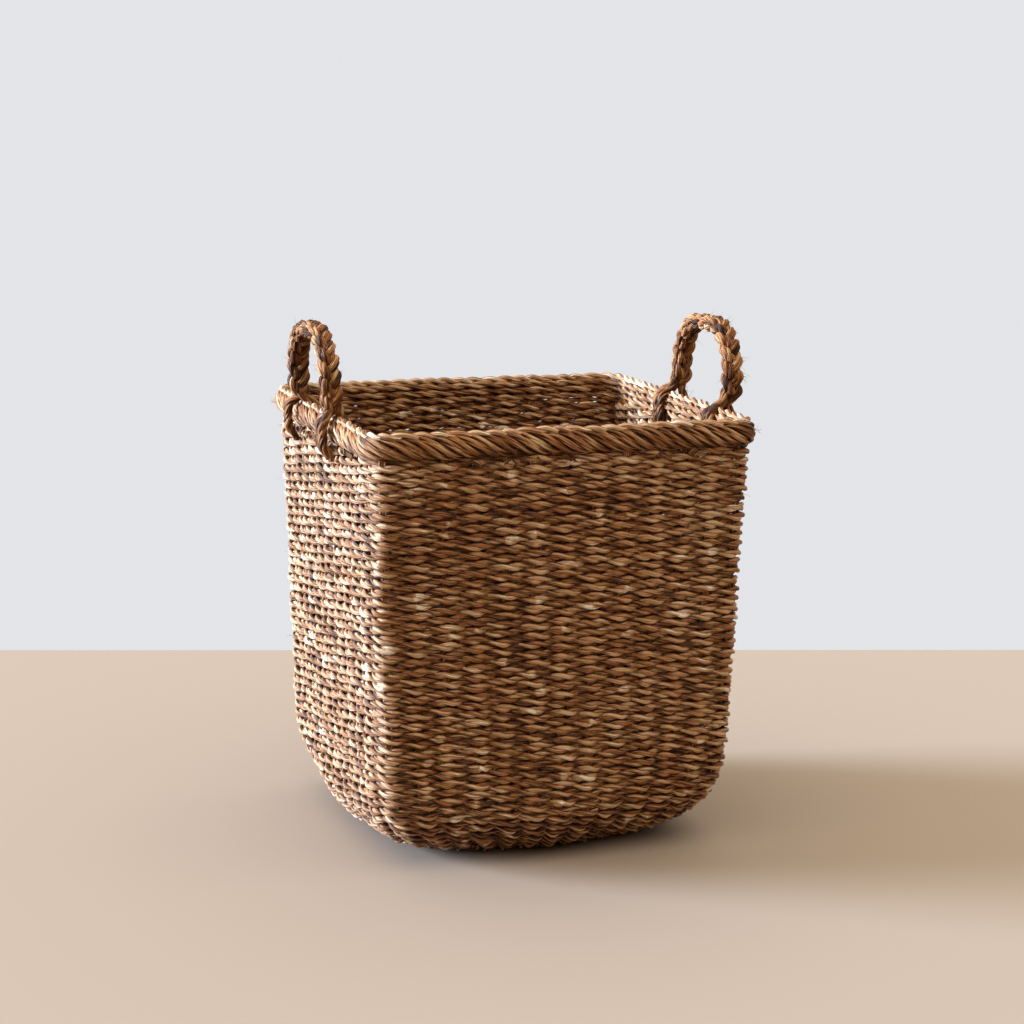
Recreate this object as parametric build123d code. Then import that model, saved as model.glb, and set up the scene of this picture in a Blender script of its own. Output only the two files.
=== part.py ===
from build123d import *
import math
import os

# Seagrass storage basket, in millimetres. +Z is up and the origin is on the floor under the middle
# of the base. The front faces -Y, and the two plaited handles stand on the -X and +X walls.

# Overall sizes
WIDTH = 350.0  # outside the left and right walls, at the rim
DEPTH = 336.0  # outside the front and back walls, at the rim
RIM_TOP = 380.0  # floor to the top of the rim
WALL_LEAN = 14.0  # how much further in each wall would be at floor level than at the rim
WALL_THICKNESS = 14.0

# Corners, seen from above, and the bend where the walls roll under into the base
CORNER_RADIUS = 32.0
BASE_CORNER_RADIUS = 66.0
BEND_RADIUS = 68.0
BEND_SECTIONS = 9  # outlines that the bend's surfaces pass through

# Weave: each laid-in length of weaver cord fills one band of rows
WALL_BANDS = 9
LOWER_BEND_TOP = 41.0  # height where the first weaver of the bend ends and the second begins

# Upright stakes, flat bundles of grass that the weavers pass in front of and behind
STAKES_PER_QUARTER = 12
THROUGH_STAKES = 3  # stakes on each side of the middle one that run on under the base
SIDE_STAKES = 5  # last stake on each side of the middle one, next to the corner stake
STAKE_WIDTH = 8.0
STAKE_THICKNESS = 3.6
STAKE_CLEARANCE = 0.1
ACROSS_STAKE_LEVEL = 5.2  # centre of the left-to-right stakes in the base, above the floor
ALONG_STAKE_LEVEL = 10.2  # centre of the front-to-back stakes, which cross above them
STAKE_END_GAP = 0.6

# Rolled rim and the cord laid along its top
RIM_BORDER_HEIGHT = 20.0
RIM_BORDER_WIDTH = 21.0
RIM_OVERHANG = 4.5  # how far the border stands out from the wall below it
RIM_ROUNDING = 7.0
EDGE_CORD_DIAMETER = 8.0
SEAT_CLEARANCE = 0.15
CUT_END_DIAMETER = 4.0
CUT_END_LENGTH = 4.0
CUT_END_DROP = 4.0  # below the border's underside
CUT_ENDS_PER_SIDE = 5

# Plaited handles
HANDLE_SPACING = 110.0  # between the middles of the two legs
HANDLE_RISE = 79.0  # rim top to the top of the loop
HANDLE_CORNER_RADIUS = 44.0  # centre line
PLAIT_DIAMETER = 18.0
STRANDS = 3
STRAND_GAP = 0.15
FOOT_CLEARANCE = 0.5  # under the legs, so that they tilt freely over the rim

# Tails: the strand ends that fork beside each leg and straddle the rim
TAIL_WIDTH = 8.0
TAIL_THICKNESS = 4.0
TAIL_CLEARANCE = 0.3
TAIL_BEND_RADIUS = 6.0
TAIL_OUTER_DROP = 42.0
TAIL_INNER_DROP = 50.0

WALL_FOOT = BEND_RADIUS
WALL_TOP = RIM_TOP - EDGE_CORD_DIAMETER / 2 - RIM_BORDER_HEIGHT
BAND_HEIGHT = (WALL_TOP - WALL_FOOT) / WALL_BANDS
CORNER_SPREAD_TOP = WALL_FOOT + BAND_HEIGHT  # the corners grow rounder below this height
BORDER_TOP = WALL_TOP + RIM_BORDER_HEIGHT
RIM_MIDDLE = WIDTH / 2 + RIM_OVERHANG - RIM_BORDER_WIDTH / 2
PIVOT_HEIGHT = RIM_TOP + FOOT_CLEARANCE + PLAIT_DIAMETER / 2
MARGIN = 5.0  # how far cutting shapes run past what they cut
ON_BASE = (Align.CENTER, Align.CENTER, Align.MIN)


def lean_at(height):
    """Return how far in the wall's outer face is at a height, compared with the rim."""
    return WALL_LEAN * (1 - height / RIM_TOP)


def corner_radius_at(height):
    """Return the corner's outside radius at a height."""
    spread = max(0.0, 1 - height / CORNER_SPREAD_TOP)
    return CORNER_RADIUS + (BASE_CORNER_RADIUS - CORNER_RADIUS) * spread


def outline(height, inset):
    """Return the basket's rounded outline at a height, moved in from the outer face."""
    margin = lean_at(height) + inset
    radius = corner_radius_at(height) - inset
    shape = RectangleRounded(WIDTH - 2 * margin, DEPTH - 2 * margin, radius)
    return Plane.XY.offset(height) * shape


def bend_outline(turn, depth):
    """Return the outline on the bend at a turn from flat, at a depth under the outer face."""
    radius = BEND_RADIUS - depth
    height = depth + radius * (1 - math.cos(turn))
    inset = depth + radius * (1 - math.sin(turn))
    margin = lean_at(BEND_RADIUS) + inset
    corner = corner_radius_at(BEND_RADIUS * (1 - math.cos(turn))) - depth
    shape = RectangleRounded(WIDTH - 2 * margin, DEPTH - 2 * margin, corner)
    return Plane.XY.offset(height) * shape


def bend_shell(depth):
    """Return the solid inside the bend's surface at a depth under the outer face."""
    turns = [math.pi / 2 * step / (BEND_SECTIONS - 1) for step in range(BEND_SECTIONS)]
    return loft([bend_outline(turn, depth) for turn in turns])


def slab(low, high):
    """Return a wide flat block between two heights."""
    block = Box(2 * WIDTH, 2 * DEPTH, high - low)
    return Pos(0, 0, (low + high) / 2) * block


def wall_ring(low, high):
    """Return one stretch of wall between two heights."""
    outside = loft([outline(low, 0), outline(high, 0)], ruled=True)
    inside = loft([outline(low, WALL_THICKNESS), outline(high, WALL_THICKNESS)], ruled=True)
    return outside - inside


def quarter_length(height):
    """Return the length of a quarter of the wall's middle line at a height, and its parts."""
    inset = lean_at(height) + WALL_THICKNESS / 2
    radius = corner_radius_at(height) - WALL_THICKNESS / 2
    side_run = DEPTH / 2 - inset - radius
    front_run = WIDTH / 2 - inset - radius
    return side_run + radius * math.pi / 2 + front_run, side_run, radius, front_run


def wall_point(height, share):
    """Return a point on the wall's middle line, and the outward direction there.

    The share runs from 0 at the middle of the right wall to 1 at the middle of the back wall.
    """
    total, side_run, radius, front_run = quarter_length(height)
    half_width = front_run + radius
    half_depth = side_run + radius
    distance = share * total
    if distance <= side_run:
        return Vector(half_width, distance, height), Vector(1, 0, 0)
    turn = (distance - side_run) / radius
    if turn >= math.pi / 2:
        left = total - distance
        return Vector(left, half_depth, height), Vector(0, 1, 0)
    outward = Vector(math.cos(turn), math.sin(turn), 0)
    return Vector(front_run, side_run, height) + outward * radius, outward


def side_stake(share, clearance):
    """Return one stake of the first quarter that rises from above the bend to the rim."""
    low = CORNER_SPREAD_TOP + STAKE_END_GAP - clearance
    high = WALL_TOP - STAKE_END_GAP + clearance
    start, outward = wall_point(low, share)
    end, outward = wall_point(high, share)
    rise = end - start
    frame = Plane(origin=start, x_dir=outward.cross(rise), z_dir=rise)
    section = frame * Rectangle(STAKE_WIDTH + 2 * clearance, STAKE_THICKNESS + 2 * clearance)
    return extrude(section, amount=rise.length)


def mirrored(shape, flip_x, flip_y):
    """Return the shape, mirrored left to right, front to back, or both."""
    if flip_x:
        shape = mirror(shape, about=Plane.YZ)
    if flip_y:
        shape = mirror(shape, about=Plane.XZ)
    return shape


def through_path(half_span, level, top):
    """Return the path of a stake down one wall, across the base and up the other wall."""
    inset = WALL_THICKNESS / 2
    high = half_span - lean_at(top) - inset
    low = half_span - lean_at(level) - inset
    points = [(-high, 0, top), (-low, 0, level), (low, 0, level), (high, 0, top)]
    return FilletPolyline(*points, radius=BEND_RADIUS - level)


def through_stake(half_span, level, offset, top, clearance):
    """Return a through stake that runs left to right at an offset from the middle."""
    path = through_path(half_span, level, top)
    frame = Plane(origin=path @ 0, x_dir=(0, 1, 0), z_dir=path % 0)
    section = frame * Rectangle(STAKE_WIDTH + 2 * clearance, STAKE_THICKNESS + 2 * clearance)
    return Pos(0, offset, 0) * sweep(section, path=path)


def across_stake(offset, top, clearance):
    """Return a stake that runs left to right under the base."""
    return through_stake(WIDTH / 2, ACROSS_STAKE_LEVEL, offset, top, clearance)


def along_stake(offset, top, clearance):
    """Return a stake that runs front to back under the base."""
    stake = through_stake(DEPTH / 2, ALONG_STAKE_LEVEL, 0, top, clearance)
    return Pos(offset, 0, 0) * Rot(0, 0, 90) * stake


def stake_pitch():
    """Return the distance from stake to stake along the wall, just under the rim."""
    return quarter_length(WALL_TOP)[0] / STAKES_PER_QUARTER


def through_offsets():
    """Return each through stake's place, counted from the middle one."""
    return [(step, step * stake_pitch()) for step in range(-THROUGH_STAKES, THROUGH_STAKES + 1)]


def side_shares(wall):
    """Return the shares of the side stakes of a side wall, an end wall or the corners."""
    steps = range(THROUGH_STAKES + 1, SIDE_STAKES + 1)
    if wall == "side":
        return [step / STAKES_PER_QUARTER for step in steps]
    if wall == "end":
        return [1 - step / STAKES_PER_QUARTER for step in steps]
    return [0.5]


def stake_channels():
    """Return the spaces that all the stakes take up in the weave."""
    spaces = []
    for step, offset in through_offsets():
        spaces.append(across_stake(offset, WALL_TOP + MARGIN, STAKE_CLEARANCE))
        spaces.append(along_stake(offset, WALL_TOP + MARGIN, STAKE_CLEARANCE))
    for wall in ("side", "end", "corner"):
        for share in side_shares(wall):
            stake = side_stake(share, STAKE_CLEARANCE)
            for flip_x in (False, True):
                for flip_y in (False, True):
                    spaces.append(mirrored(stake, flip_x, flip_y))
    return spaces


def weave_pieces():
    """Return the base mat, the two weavers of the bend and the weavers of the wall."""
    bowl = bend_shell(0)
    bend = bowl - bend_shell(WALL_THICKNESS)
    pieces = {
        "base_mat": bowl & slab(0, WALL_THICKNESS),
        "bend_weaver_lower": bend & slab(WALL_THICKNESS, LOWER_BEND_TOP),
        "bend_weaver_upper": bend & slab(LOWER_BEND_TOP, WALL_FOOT),
    }
    for band in range(WALL_BANDS):
        low = WALL_FOOT + band * BAND_HEIGHT
        pieces[f"wall_weaver_{band + 1}"] = wall_ring(low, low + BAND_HEIGHT)
    channels = stake_channels()
    return {name: piece - channels for name, piece in pieces.items()}


def stake_pieces():
    """Return the through stakes one by one, and the side stakes in a group for each wall."""
    pieces = {}
    top = WALL_TOP - STAKE_END_GAP
    for step, offset in through_offsets():
        number = step + THROUGH_STAKES + 1
        pieces[f"stake_across_{number}"] = across_stake(offset, top, 0)
        pieces[f"stake_along_{number}"] = along_stake(offset, top, 0)
    walls = {
        "stakes_side_left": ("side", [(True, False), (True, True)]),
        "stakes_side_right": ("side", [(False, False), (False, True)]),
        "stakes_side_front": ("end", [(False, True), (True, True)]),
        "stakes_side_back": ("end", [(False, False), (True, False)]),
        "stakes_corner": ("corner", [(x, y) for x in (False, True) for y in (False, True)]),
    }
    for name, (wall, flips) in walls.items():
        stakes = [side_stake(share, 0) for share in side_shares(wall)]
        pieces[name] = Compound(children=[mirrored(s, *flip) for s in stakes for flip in flips])
    return pieces


def rim_outline(inset):
    """Return the rim's outline, moved in from the border's outer face."""
    out = RIM_OVERHANG - inset
    return RectangleRounded(WIDTH + 2 * out, DEPTH + 2 * out, CORNER_RADIUS + out)


def edge_cord(clearance):
    """Return the cord laid along the top of the border, in its groove."""
    path = Pos(0, 0, BORDER_TOP) * rim_outline(RIM_BORDER_WIDTH / 2).face().outer_wire()
    frame = Plane(origin=path @ 0, z_dir=path % 0)
    return sweep(frame * Circle(EDGE_CORD_DIAMETER / 2 + clearance), path=path)


def rim_border():
    """Return the rolled border with its rounded edges and the groove for the edge cord."""
    ring = extrude(rim_outline(0) - rim_outline(RIM_BORDER_WIDTH), amount=RIM_BORDER_HEIGHT)
    ring = Pos(0, 0, WALL_TOP) * ring
    edges = ring.edges().group_by(Axis.Z)[-1]
    ring = fillet(edges, radius=RIM_ROUNDING)
    return ring - edge_cord(SEAT_CLEARANCE)


def cut_ends():
    """Return the stake ends that are cut off just under the border, on the outside."""
    height = WALL_TOP - CUT_END_DROP
    tilt = math.degrees(math.atan2(WALL_LEAN, RIM_TOP))
    ends = []
    for turn, half_span in ((0, WIDTH / 2), (90, DEPTH / 2), (180, WIDTH / 2), (270, DEPTH / 2)):
        face = half_span - lean_at(height) + SEAT_CLEARANCE
        for number in range(CUT_ENDS_PER_SIDE):
            offset = (2 * number - CUT_ENDS_PER_SIDE + 1) * stake_pitch()
            place = Pos(face, offset, height) * Rot(0, 90 + tilt, 0)
            end = Cylinder(CUT_END_DIAMETER / 2, CUT_END_LENGTH, align=ON_BASE)
            ends.append(Rot(0, 0, turn) * place * end)
    return Compound(children=ends)


def strand_offsets():
    """Return where each strand's centre is in the plait: sideways and outwards in the loop."""
    packing = 1 + 1 / math.sin(math.pi / STRANDS)
    strand_radius = PLAIT_DIAMETER / 2 / packing
    distance = PLAIT_DIAMETER / 2 - strand_radius
    places = []
    for number in range(STRANDS):
        angle = math.pi / 2 + 2 * math.pi * number / STRANDS
        places.append((distance * math.cos(angle), distance * math.sin(angle)))
    return places, strand_radius - STRAND_GAP / 2


def handle_strand(sideways, outwards, strand_radius):
    """Return one strand of the right handle's loop, with its feet rounded about the pivot."""
    half = HANDLE_SPACING / 2 + outwards
    top = RIM_TOP + HANDLE_RISE - PLAIT_DIAMETER / 2 + outwards
    foot = RIM_TOP
    points = [(0, -half, foot), (0, -half, top), (0, half, top), (0, half, foot)]
    path = FilletPolyline(*points, radius=HANDLE_CORNER_RADIUS + outwards)
    frame = Plane(origin=path @ 0, z_dir=path % 0)
    strand = Pos(sideways, 0, 0) * sweep(frame * Circle(strand_radius), path=path)
    above = Box(2 * PLAIT_DIAMETER, 2 * HANDLE_SPACING, HANDLE_RISE, align=ON_BASE)
    rounding = Rot(90, 0, 0) * Cylinder(PLAIT_DIAMETER / 2, 2 * HANDLE_SPACING)
    return Pos(RIM_MIDDLE, 0, 0) * (strand & (Pos(0, 0, PIVOT_HEIGHT) * (above + rounding)))


def handle_tail(offset):
    """Return one tail of the right handle, which straddles the rim beside a leg."""
    reach = RIM_BORDER_WIDTH / 2 + TAIL_CLEARANCE + TAIL_THICKNESS / 2
    top = RIM_TOP + TAIL_CLEARANCE + TAIL_THICKNESS / 2
    points = [
        (RIM_MIDDLE + reach, offset, RIM_TOP - TAIL_OUTER_DROP),
        (RIM_MIDDLE + reach, offset, top),
        (RIM_MIDDLE - reach, offset, top),
        (RIM_MIDDLE - reach, offset, RIM_TOP - TAIL_INNER_DROP),
    ]
    path = FilletPolyline(*points, radius=TAIL_BEND_RADIUS)
    frame = Plane(origin=path @ 0, x_dir=(0, 1, 0), z_dir=path % 0)
    return sweep(frame * Rectangle(TAIL_WIDTH, TAIL_THICKNESS), path=path)


def handle_pieces():
    """Return both handles' strands, and the tails at each foot."""
    pieces = {}
    places, strand_radius = strand_offsets()
    for side, flip in (("left", True), ("right", False)):
        for number, (sideways, outwards) in enumerate(places):
            strand = handle_strand(sideways, outwards, strand_radius)
            pieces[f"handle_{side}_strand_{number + 1}"] = mirrored(strand, flip, False)
        for foot, direction in (("front", -1), ("back", 1)):
            for kind, away in (("inner", -1), ("outer", 1)):
                beside = PLAIT_DIAMETER / 2 + FOOT_CLEARANCE + TAIL_WIDTH / 2
                offset = direction * (HANDLE_SPACING / 2 + away * beside)
                pieces[f"tail_{side}_{foot}_{kind}"] = mirrored(handle_tail(offset), flip, False)
    return pieces


def main():
    """Build every piece and write each one to its own file."""
    pieces = {}
    pieces.update(weave_pieces())
    pieces.update(stake_pieces())
    pieces["rim_border"] = rim_border()
    pieces["rim_edge_cord"] = edge_cord(0)
    pieces["rim_cut_ends"] = cut_ends()
    pieces.update(handle_pieces())
    os.makedirs("parts", exist_ok=True)
    for name, piece in pieces.items():
        export_step(piece, f"parts/{name}.step")


main()
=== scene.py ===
import math

import bpy
import numpy as np
from bpy.props import FloatProperty, FloatVectorProperty, IntProperty, PointerProperty
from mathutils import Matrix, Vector


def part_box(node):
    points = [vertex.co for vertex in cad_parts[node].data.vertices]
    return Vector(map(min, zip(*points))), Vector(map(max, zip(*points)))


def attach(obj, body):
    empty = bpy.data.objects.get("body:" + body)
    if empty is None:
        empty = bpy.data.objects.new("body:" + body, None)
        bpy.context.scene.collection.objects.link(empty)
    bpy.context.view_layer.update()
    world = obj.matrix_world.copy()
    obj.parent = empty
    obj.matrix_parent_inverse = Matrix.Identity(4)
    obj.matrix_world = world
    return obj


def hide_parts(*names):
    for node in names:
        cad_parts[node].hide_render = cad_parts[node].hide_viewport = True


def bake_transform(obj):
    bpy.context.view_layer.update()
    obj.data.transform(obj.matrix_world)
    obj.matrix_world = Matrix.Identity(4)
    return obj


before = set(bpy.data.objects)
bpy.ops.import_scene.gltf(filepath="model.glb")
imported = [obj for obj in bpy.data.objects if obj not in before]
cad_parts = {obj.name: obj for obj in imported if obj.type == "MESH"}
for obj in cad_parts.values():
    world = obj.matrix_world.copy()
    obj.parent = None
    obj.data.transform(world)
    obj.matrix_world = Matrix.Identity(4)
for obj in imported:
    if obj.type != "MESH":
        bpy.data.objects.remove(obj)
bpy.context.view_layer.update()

bl_info = {
    "name": "Seagrass storage basket",
    "version": (1, 0, 0),
    "blender": (4, 5, 0),
    "location": "View3D > Sidebar > Basket",
    "description": "Builds a woven seagrass basket with a rolled rim and plaited handles",
    "category": "Add Mesh",
}

MM = 0.001
TURN = 2 * math.pi
QUARTERS = 4

# The basket's own measures, in metres, read from the frame wherever it holds them.
RIM_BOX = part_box("rim_border")
CORD_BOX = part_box("rim_edge_cord")
TOP_BAND_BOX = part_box("wall_weaver_9")
BOTTOM_BAND_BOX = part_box("wall_weaver_1")
LOOP_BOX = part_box("handle_right_strand_1")

# Bands of weaver in the wall, and the facets round each of its cords.
BANDS = 9
CORD_SIDES = 7

# Depth of the slow waves that make a wall uneven, and of the belly in the sides of the base.
UPRIGHT_WAVE = 0.0011
SLANTED_WAVE = 0.0009
BASE_BELLY = 0.013

# A two-ply cord: how far a ply lies from the cord's middle and how thick it is, both as shares of
# the cord's radius, and how much one ply is lighter and the other darker than the cord.
PLY_REACH = 0.46
PLY_SIZE = 0.62
PLY_SHADE = 0.12

# A stitch between two stakes: half its height, and the power that shapes its narrowing.
NARROW_HALF = 2.4 * MM
NARROWING = 0.85

# Radius and length of a loose fibre on the weave.
HAIR_RADIUS = 0.16 * MM
HAIR_LENGTH = 0.012

# The woven base: the pitch of its cords, half their thickness and the length of one full twist.
MAT_PITCH = 7.6 * MM
MAT_CORD_RADIUS = 3.5 * MM
MAT_LAY = 0.025

# How far inside the border's outer face lie its winding's middle line, and the cords that line it.
WINDING_INSET = 10 * MM
LINING_INSET = 14.8 * MM

# Length of one full twist of the cord on top of the border.
EDGE_CORD_LAY = 0.03

# A handle: the radius of its two upper corners, how far the tails reach below its feet, and the
# swing of its strands sideways and in its own plane.
HANDLE_CORNER = 0.044
TAIL_DROP = 39 * MM
PLAIT_SWAY = 5.3 * MM
PLAIT_LIFT = 2.6 * MM

# Each kind of dried grass: its lift, the depth of its fibres, its gloss and its painted shade in
# the gaps between cords.
GRASSES = {
    "woven_grass": (-0.32, 0.8, 0.55, 0.37),
    "stake_grass": (-0.06, 0.6, 0.2, 0.0),
    "rim_grass": (-0.5, 0.8, 0.4, 0.36),
    "handle_grass": (-0.14, 0.9, 0.3, 0.0),
}

# Where chance starts for each operator.
SEEDS = {"base": 5, "bend": 11, "wall": 21, "stakes": 3, "rim": 8, "handles": 40}

# The stage: the floor's turn, its far, near and side edges and its colour; the backdrop's colour on
# the dim side, on the bright side and overhead; the key light; and the camera.
FLOOR_TURN = math.radians(-16.80)
FLOOR_FAR, FLOOR_NEAR, FLOOR_WIDE = 0.619, -3.4, 4.0
FLOOR_COLOUR = (0.32, 0.265, 0.212)
DIM_SIDE = (0.182, 0.09, 0.04, 1.0)
BRIGHT_SIDE = (0.655, 0.662, 0.687, 1.0)
OVERHEAD = (1.62, 1.46, 1.27, 1.0)
KEY_WAY = (2.4, -1.0, -0.56)
KEY_POWER = 9.9
KEY_WIDTH = math.radians(24)
KEY_COLOUR = (0.8, 0.96, 1.24)
CAMERA_PLACE = (-0.6829, -2.018, 0.6708)
CAMERA_TURN = (math.radians(90 - 10.4314), math.radians(-0.47), math.radians(-18.778))
SENSOR_WIDTH = 36.0
FOCAL_LENGTH = 84.77


def length_property(name, description, default):
    """Return a property that holds a length in metres."""
    return FloatProperty(name=name, description=description, unit="LENGTH", default=default)


def count_property(name, description, default):
    """Return a property that holds a whole number."""
    return IntProperty(name=name, description=description, default=default)


def colour_property(name, description, default):
    """Return a property that holds a colour."""
    return FloatVectorProperty(
        name=name, description=description, subtype="COLOR", size=3, min=0, max=1, default=default
    )


class BasketSizes(bpy.types.PropertyGroup):
    """Sizes of the woven wall, in metres."""

    wall_thickness: length_property("Wall thickness", "Through both layers of cord", 0.014)
    corner_radius: length_property("Corner radius", "Of the upright corners, outside", 0.025)
    base_corner_radius: length_property("Base corner radius", "Of the base, outside", 0.057)
    bulge: length_property("Bulge", "How far the middle of each wall swells out", 0.004)
    stakes_per_quarter: count_property("Stakes in a quarter", "Upright stakes in a quarter", 12)
    rows_per_band: count_property("Rows in a band", "Rows that one length of weaver fills", 8)
    cord_height: length_property("Cord height", "Of a stitch where it crosses a stake", 0.0076)
    cord_lay: length_property("Cord lay", "Length of one full twist of the cord", 0.034)


class RimSizes(bpy.types.PropertyGroup):
    """Sizes of the rolled rim, in metres."""

    strands: count_property("Strands", "Bundles round the border", 7)
    lay: length_property("Lay", "Length of one full turn of a bundle", 0.078)


class HandleSizes(bpy.types.PropertyGroup):
    """Sizes of the plaited handles, in metres."""

    plait_pitch: length_property("Plait pitch", "Length of one full cycle of the plait", 0.042)
    strand_radius: length_property("Strand radius", "Of one twisted strand", 0.0047)
    lay: length_property("Strand lay", "Length of one full twist of a strand", 0.03)


class BasketColours(bpy.types.PropertyGroup):
    """Colours of the dried grass, from its darkest, which the painted shade between cords also
    uses, to the palest straw.
    """

    # Deep is the darkest grass, and also the colour that the painted shade in the gaps between
    # cords and stitches reaches.
    deep: colour_property("Deep", "Old grass in the folds", (0.052, 0.02, 0.0065))
    brown: colour_property("Brown", "Most of the grass", (0.335, 0.138, 0.041))
    tan: colour_property("Tan", "Lighter blades", (0.57, 0.368, 0.195))
    straw: colour_property("Straw", "The palest blades", (0.88, 0.77, 0.62))


PROPERTY_GROUPS = (BasketSizes, RimSizes, HandleSizes, BasketColours)


# ---------------------------------------------------------------- shape of the basket's wall


def wall_sizes():
    """Return the wall's measures, worked out from the frame's boxes and the sizes group.

    The outer face leans evenly, so its half sizes at any height follow from two bands of weaver.
    """
    sizes = bpy.context.scene.basket_sizes
    low, high = BOTTOM_BAND_BOX, TOP_BAND_BOX
    lean = (high[1][0] - low[1][0]) / (high[1][2] - low[1][2])
    bend_radius = low[0][2]
    half_thick = sizes.wall_thickness / 2
    return {
        "lean": lean,
        "top": high[1][2],
        "half_x": high[1][0],
        "half_y": high[1][1],
        "bend_radius": bend_radius,
        "half_thick": half_thick,
        "spread_top": low[1][2],
        "bend_length": (bend_radius - half_thick) * math.pi / 2,
        "wall_length": high[1][2] - bend_radius,
    }


def rounded_outline(share, half_x, half_y, radius):
    """Return points and outward directions on a rounded rectangle.

    The share counts quarters of the way round, from the middle of the right side towards the back.
    In a quarter the point runs up a straight side, round a quarter circle and along the next side,
    by length. Odd quarters run the same way backwards, and the signs of x and y make the four.
    """
    quarter = np.floor(share).astype(int) % QUARTERS
    part = share - np.floor(share)
    part = np.where(quarter % 2 == 1, 1 - part, part)
    side = half_y - radius
    front = half_x - radius
    distance = part * (side + radius * math.pi / 2 + front)
    angle = np.clip((distance - side) / radius, 0, math.pi / 2)
    x = front + radius * np.cos(angle) - np.maximum(distance - side - radius * math.pi / 2, 0)
    y = np.minimum(distance, side) + radius * np.sin(angle)
    flip_x = np.where((quarter == 1) | (quarter == 2), -1, 1)
    flip_y = np.where(quarter >= 2, -1, 1)
    point = np.stack([x * flip_x, y * flip_y], -1)
    outward = np.stack([np.cos(angle) * flip_x, np.sin(angle) * flip_y], -1)
    return point, outward


def wall_surface(stake, climb):
    """Return points on the wall's middle layer, with the outward and the upward direction there.

    The stake counts upright stakes round the basket, and the climb is the length up the wall from
    the edge of the base. The climb first follows a quarter circle, the bend, and then rises along
    the leaning wall. The corners' radius shrinks evenly from the base's to the wall's. A swell
    pushes the middle of each side out by the fourth power of a cosine, a belly does the same to the
    base, and two slow waves make the wall uneven.
    """
    sizes = bpy.context.scene.basket_sizes
    wall = wall_sizes()
    stake, climb = np.broadcast_arrays(np.asarray(stake, float), np.asarray(climb, float))
    share = stake / sizes.stakes_per_quarter
    radius = wall["bend_radius"] - wall["half_thick"]
    turn = np.clip(climb / radius, 0, math.pi / 2)
    rise = np.maximum(climb - wall["bend_length"], 0)
    height = wall["half_thick"] + radius * (1 - np.cos(turn)) + rise
    outer_height = np.where(rise > 0, height, wall["bend_radius"] * (1 - np.cos(turn)))
    shift = wall["lean"] * (np.maximum(outer_height, wall["bend_radius"]) - wall["top"])
    inset = wall["half_thick"] + radius * (1 - np.sin(turn))
    spread = np.maximum(0, 1 - outer_height / wall["spread_top"])
    corner = sizes.corner_radius + (sizes.base_corner_radius - sizes.corner_radius) * spread
    corner = corner - wall["half_thick"]
    point, out = rounded_outline(
        share, wall["half_x"] + shift - inset, wall["half_y"] + shift - inset, corner
    )
    along_side = np.cos(np.pi * (share - np.round(share))) ** 4
    swell = sizes.bulge * along_side * np.sin(np.pi * np.clip(height / wall["top"], 0, 1) ** 0.7)
    wave = UPRIGHT_WAVE * np.sin(TURN * share + height * 31) * np.sin(height * 23 + 1.7)
    wave += SLANTED_WAVE * np.sin(TURN * share + 2.1 + height * 17)
    belly = BASE_BELLY * along_side * np.cos(turn)
    push = (swell + wave) * np.sin(turn) + belly
    position = np.concatenate([point + out * push[..., None], height[..., None]], -1)
    flat, steep = np.cos(turn)[..., None], np.sin(turn)[..., None]
    level = np.concatenate([out, np.zeros_like(out[..., :1])], -1)
    upright = np.array([0.0, 0.0, 1.0])
    return position, level * steep - upright * flat, level * flat + upright * steep


# ---------------------------------------------------------------- meshes from arrays


def direction(vectors):
    """Return the vectors at length one."""
    return vectors / np.maximum(np.linalg.norm(vectors, axis=-1, keepdims=True), 1e-12)


def square_to(along, vectors):
    """Return the vectors at length one, less what they have of the direction along."""
    return direction(vectors - along * np.sum(vectors * along, -1, keepdims=True))


def path_lengths(points, closed):
    """Return the running length at each point of each path, with the closing one if it closes."""
    if closed:
        points = np.concatenate([points, points[:, :1]], 1)
    steps = np.linalg.norm(np.diff(points, axis=1), axis=-1)
    return np.concatenate([np.zeros((len(points), 1)), np.cumsum(steps, 1)], 1)


def twist(path, lay):
    """Return the angle of a twist along each closed path, by length, in a whole number of turns.

    The number is the nearest for which one turn takes the given lay.
    """
    lengths = path_lengths(path, True)
    return TURN * np.round(lengths[:, -1:] / lay) * lengths[:, :-1] / lengths[:, -1:]


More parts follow.
